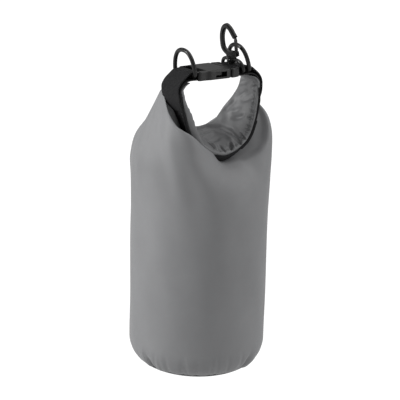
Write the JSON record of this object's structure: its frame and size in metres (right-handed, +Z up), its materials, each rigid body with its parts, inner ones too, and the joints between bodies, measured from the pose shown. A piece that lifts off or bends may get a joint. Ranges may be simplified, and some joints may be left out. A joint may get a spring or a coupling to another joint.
{
  "type": "dry bag",
  "caption": "Small roll-top dry bag, closed and filled, with a buckled carrying handle, D-rings and a swivel snap hook.",
  "frame": {"origin": "centre of the flat bottom, on the surface the bag stands on", "axes": "+X along the folded mouth towards the snap hook, -Y towards the hem of the folded mouth, +Z up"},
  "size_m": [0.125, 0.125, 0.3184],
  "materials": {
    "shell_fabric": "matt coated woven fabric",
    "seam_tape": "smooth welded tape",
    "webbing": "woven flat webbing",
    "buckle_plastic": "moulded acetal, satin",
    "hardware_plastic": "moulded acetal, satin"
  },
  "bodies": {
    "bag": {"bottom_panel": "shell_fabric", "bottom_seam_tape": "seam_tape", "back_seam_tape": "seam_tape", "body_wall": "shell_fabric", "mouth_roll_centre": "shell_fabric", "mouth_arm_left": "shell_fabric", "mouth_arm_right": "shell_fabric", "mouth_tip_left": "shell_fabric", "webbing_band": "webbing", "webbing_left": "webbing", "buckle_female": "buckle_plastic"},
    "right_end": {"mouth_tip_right": "shell_fabric", "webbing_right": "webbing", "buckle_male": "buckle_plastic"},
    "prong_front": {"prong_front": "buckle_plastic"},
    "prong_back": {"prong_back": "buckle_plastic"},
    "ring_left": {"d_ring_left": "hardware_plastic"},
    "ring_right": {"d_ring_right": "hardware_plastic"},
    "hook_base": {"hook_base": "hardware_plastic"},
    "hook": {"hook_body": "hardware_plastic"},
    "gate": {"hook_gate": "hardware_plastic"}
  },
  "joints": [
    {"name": "buckle_release", "type": "slide", "parent": "bag", "child": "right_end", "axis": [1, 0, 0], "range_m": [0, 0.022]},
    {"name": "prong_front_press", "type": "hinge", "parent": "right_end", "child": "prong_front", "pos_m": [0.0098, -0.0226, 0.277], "axis": [0, 0, -1], "range_deg": [0, 8], "stiffness_Nm_per_rad": 0.15},
    {"name": "prong_back_press", "type": "hinge", "parent": "right_end", "child": "prong_back", "pos_m": [0.0098, -0.0038, 0.277], "axis": [0, 0, 1], "range_deg": [0, 8], "stiffness_Nm_per_rad": 0.15},
    {"name": "ring_left_swing", "type": "hinge", "parent": "bag", "child": "ring_left", "pos_m": [-0.0298, -0.0132, 0.277], "axis": [0, 1, 0], "range_deg": [-50, 20]},
    {"name": "ring_right_swing", "type": "hinge", "parent": "right_end", "child": "ring_right", "pos_m": [0.0298, -0.0132, 0.277], "axis": [0, 1, 0], "range_deg": [-2, 65]},
    {"name": "hook_swing", "type": "hinge", "parent": "right_end", "child": "hook_base", "pos_m": [0.0229, -0.0132, 0.277], "axis": [0, 1, 0], "range_deg": [-8, 2]},
    {"name": "hook_swivel", "type": "hinge", "parent": "hook_base", "child": "hook", "pos_m": [0.0229, -0.0132, 0.277], "axis": [-0.1987, 0, 0.9801], "range_deg": [-8, 10]},
    {"name": "gate_open", "type": "hinge", "parent": "hook", "child": "gate", "pos_m": [0.02087, -0.01944, 0.29148], "axis": [-0.9704, -0.1403, -0.1967], "range_deg": [0, 25], "stiffness_Nm_per_rad": 0.02}
  ]
}
